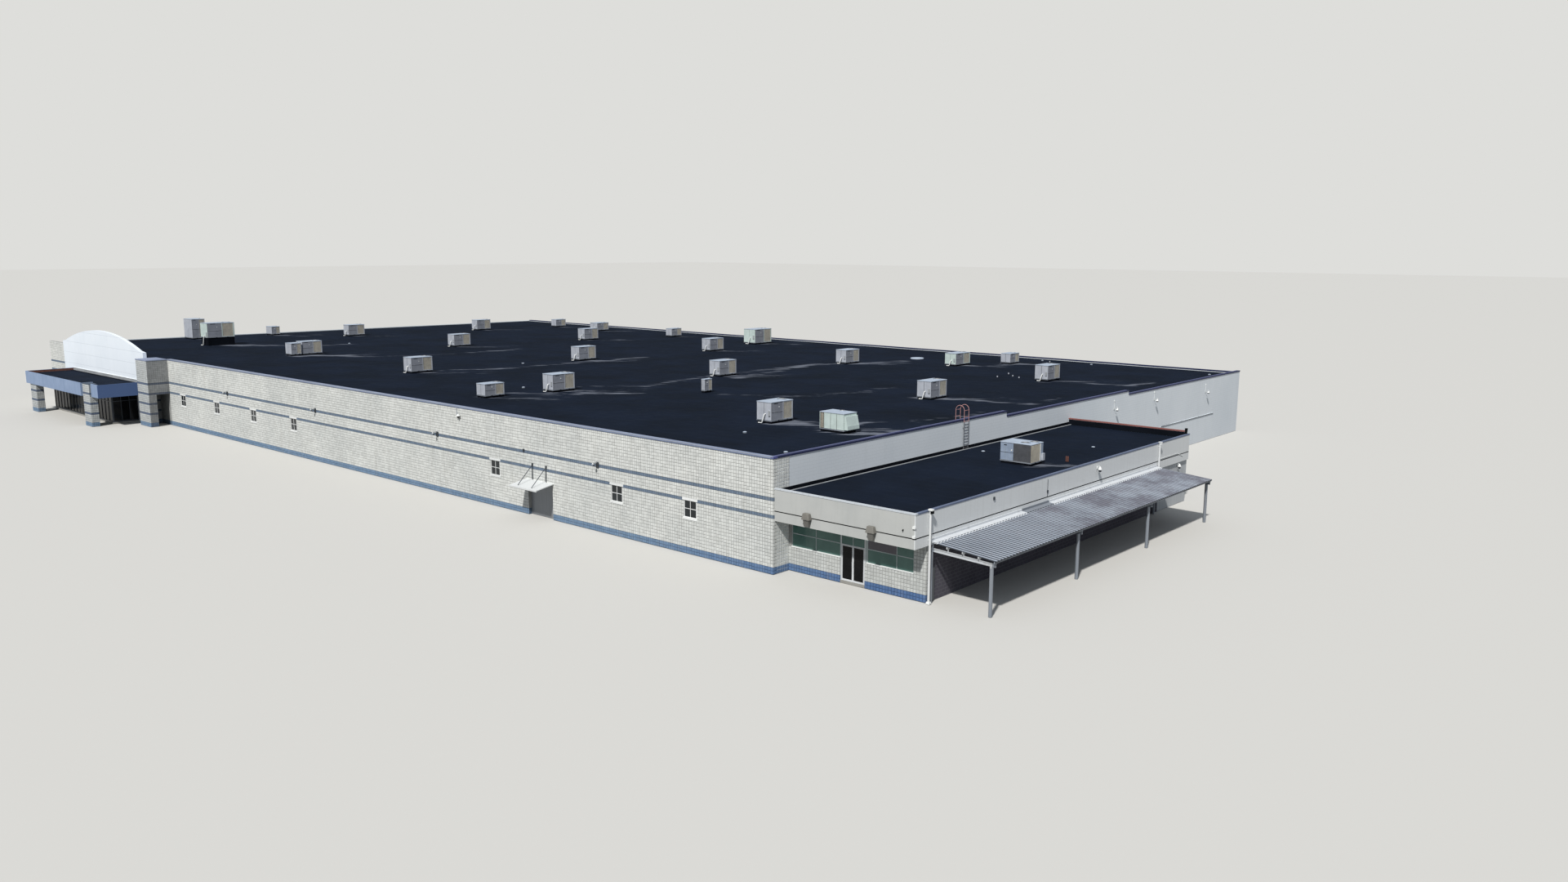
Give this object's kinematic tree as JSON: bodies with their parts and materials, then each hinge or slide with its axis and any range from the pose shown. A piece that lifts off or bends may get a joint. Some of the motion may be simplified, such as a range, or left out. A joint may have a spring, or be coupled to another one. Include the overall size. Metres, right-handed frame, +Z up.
{
  "type": "supermarket building scale model",
  "caption": "Wide single-storey supermarket with a flat roof, rooftop units, an arched entrance with a portico, a glazed annex and a ribbed lean-to canopy, as a 1:10 model.",
  "frame": {"origin": "ground level under the middle of the main block", "axes": "+X along the front wall towards the annex and canopy, +Y from the front to the back, +Z up"},
  "size_m": [13.1076, 7.719, 0.9006],
  "materials": {
    "concrete": "matt cast concrete",
    "painted_block": "matt painted concrete block",
    "grey_block": "matt pale grey painted block",
    "painted_panel": "matt painted panels",
    "roof_sheet": "dark weathered roofing sheet",
    "coping_metal": "satin folded metal",
    "blue_fascia": "satin blue panels",
    "white_metal": "satin white paint",
    "grey_metal": "satin grey paint",
    "dark_metal": "dark satin paint",
    "dark_glass": "dark smooth glass",
    "green_glass": "green-tinted smooth glass",
    "galvanised": "dull galvanised sheet and paint",
    "unit_metal": "weathered grey-white paint"
  },
  "bodies": {
    "building": {"main_floor": "concrete", "front_wall_left": "painted_block", "front_wall_over_recess": "painted_block", "front_wall_right": "painted_block", "door_recess": "painted_block", "service_door": "grey_metal", "door_awning": "white_metal", "awning_rods": "grey_metal", "window_frames": "white_metal", "window_glass": "dark_glass", "side_wall": "grey_block", "back_wall": "grey_block", "party_wall": "grey_block", "front_wall_end": "painted_block", "entrance_wall": "painted_panel", "arch_gable": "painted_panel", "entrance_tower": "painted_block", "main_roof": "roof_sheet", "parapet_copings": "coping_metal", "entrance_floor": "concrete", "portico_roof": "roof_sheet", "portico_fascia": "blue_fascia", "portico_columns": "painted_block", "vestibule_frame": "grey_metal", "vestibule_glass": "dark_glass", "annex_floor": "concrete", "annex_low_walls": "painted_block", "annex_side_wall": "grey_block", "annex_back_wall": "grey_block", "annex_fascia": "painted_panel", "annex_roof": "roof_sheet", "annex_coping": "coping_metal", "annex_storefront": "white_metal", "annex_glass": "green_glass", "canopy_roof": "galvanised", "canopy_frame": "galvanised", "canopy_posts": "galvanised", "large_roof_units": "unit_metal", "small_roof_units": "unit_metal", "roof_ladder": "grey_metal", "wall_lights": "dark_metal"},
    "annex_door_left": {"annex_door_left": "dark_metal"},
    "annex_door_right": {"annex_door_right": "dark_metal"},
    "entrance_door_left": {"entrance_door_left": "dark_metal"},
    "entrance_door_right": {"entrance_door_right": "dark_metal"}
  },
  "joints": [
    {"name": "annex_left_hinge", "type": "hinge", "parent": "building", "child": "annex_door_left", "pos_m": [6.2611, -3.4065, 0.1175], "axis": [0, 0, -1], "range_deg": [0, 90]},
    {"name": "annex_right_hinge", "type": "hinge", "parent": "building", "child": "annex_door_right", "pos_m": [6.4129, -3.4065, 0.1175], "axis": [0, 0, 1], "range_deg": [0, 90]},
    {"name": "entrance_left_hinge", "type": "hinge", "parent": "building", "child": "entrance_door_left", "pos_m": [-3.83746, -3.9325, 0.1215], "axis": [0, 0, -1], "range_deg": [0, 90]},
    {"name": "entrance_right_hinge", "type": "hinge", "parent": "building", "child": "entrance_door_right", "pos_m": [-3.66254, -3.9325, 0.1215], "axis": [0, 0, 1], "range_deg": [0, 90]}
  ]
}
